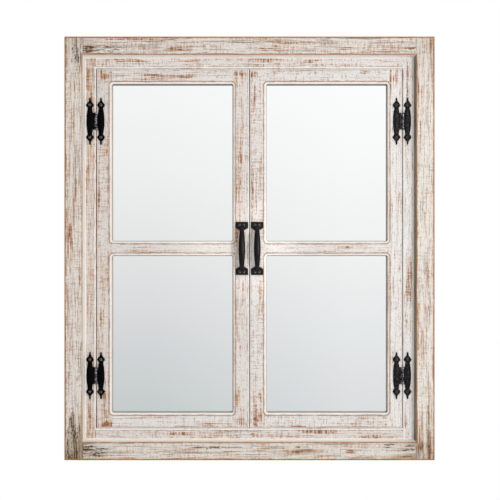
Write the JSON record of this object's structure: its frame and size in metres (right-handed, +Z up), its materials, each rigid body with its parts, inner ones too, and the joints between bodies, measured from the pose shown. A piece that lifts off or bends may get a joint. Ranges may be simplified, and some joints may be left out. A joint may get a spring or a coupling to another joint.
{
  "type": "shutter mirror",
  "caption": "Upright wall mirror shaped like a pair of closed shutter doors, with paned mirrors, H hinges and bow pulls in a deep whitewashed pine frame.",
  "frame": {"origin": "midway between the two keyhole hanging holes, on the wall plane at the back of the frame", "axes": "+X to the viewer's right, +Y back into the wall, +Z up; the doors face -Y"},
  "size_m": [0.616, 0.0467, 0.705],
  "materials": {
    "outer_whitewashed_pine": "distressed whitewash over brown pine, weathered grey-brown at the corners",
    "inner_whitewashed_pine": "distressed whitewash over brown pine",
    "door_whitewashed_pine": "distressed whitewash over brown pine, worn through along the arrises",
    "bare_pine": "bare planed pine",
    "hardboard": "brown hardboard",
    "black_iron": "hammered black iron, satin",
    "worn_iron": "black iron rubbed back to grey-brown metal",
    "zinc_steel": "zinc-plated steel",
    "mirror_glass": "silvered float glass"
  },
  "bodies": {
    "frame": {"outer_left_stile": "outer_whitewashed_pine", "outer_right_stile": "outer_whitewashed_pine", "outer_top_rail": "outer_whitewashed_pine", "outer_bottom_rail": "outer_whitewashed_pine", "inner_left_stile": "inner_whitewashed_pine", "inner_right_stile": "inner_whitewashed_pine", "inner_top_rail": "inner_whitewashed_pine", "inner_bottom_rail": "inner_whitewashed_pine", "frame_dowels": "bare_pine", "lap_screws": "zinc_steel", "back_panel": "hardboard", "panel_brads": "zinc_steel", "hanger_plate_left": "zinc_steel", "hanger_plate_right": "zinc_steel", "hanger_screws": "zinc_steel", "catch_magnets": "zinc_steel", "upper_left_hinge_frame_leaf": "black_iron", "lower_left_hinge_frame_leaf": "black_iron", "upper_right_hinge_frame_leaf": "black_iron", "lower_right_hinge_frame_leaf": "black_iron", "hinge_pins": "black_iron", "frame_hinge_nails": "worn_iron"},
    "left_door": {"left_door_hinge_stile": "door_whitewashed_pine", "left_door_meeting_stile": "door_whitewashed_pine", "left_door_top_rail": "door_whitewashed_pine", "left_door_bottom_rail": "door_whitewashed_pine", "left_door_muntin": "door_whitewashed_pine", "left_door_dowels": "bare_pine", "left_upper_mirror": "mirror_glass", "left_lower_mirror": "mirror_glass", "left_mirror_backings": "hardboard", "left_retainer_tabs": "zinc_steel", "left_tab_screws": "zinc_steel", "upper_left_hinge_door_leaf": "black_iron", "lower_left_hinge_door_leaf": "black_iron", "left_door_hinge_nails": "worn_iron", "left_pull": "black_iron", "left_pull_screws": "worn_iron", "left_catch_strike": "zinc_steel"},
    "right_door": {"right_door_hinge_stile": "door_whitewashed_pine", "right_door_meeting_stile": "door_whitewashed_pine", "right_door_top_rail": "door_whitewashed_pine", "right_door_bottom_rail": "door_whitewashed_pine", "right_door_muntin": "door_whitewashed_pine", "right_door_dowels": "bare_pine", "right_upper_mirror": "mirror_glass", "right_lower_mirror": "mirror_glass", "right_mirror_backings": "hardboard", "right_retainer_tabs": "zinc_steel", "right_tab_screws": "zinc_steel", "upper_right_hinge_door_leaf": "black_iron", "lower_right_hinge_door_leaf": "black_iron", "right_door_hinge_nails": "worn_iron", "right_pull": "black_iron", "right_pull_screws": "worn_iron", "right_catch_strike": "zinc_steel"}
  },
  "joints": [
    {"name": "left_door_swing", "type": "hinge", "parent": "frame", "child": "left_door", "pos_m": [-0.2579, -0.0242, -0.2725], "axis": [0, 0, -1], "range_deg": [0, 140]},
    {"name": "right_door_swing", "type": "hinge", "parent": "frame", "child": "right_door", "pos_m": [0.2579, -0.0242, -0.2725], "axis": [0, 0, 1], "range_deg": [0, 140]}
  ]
}
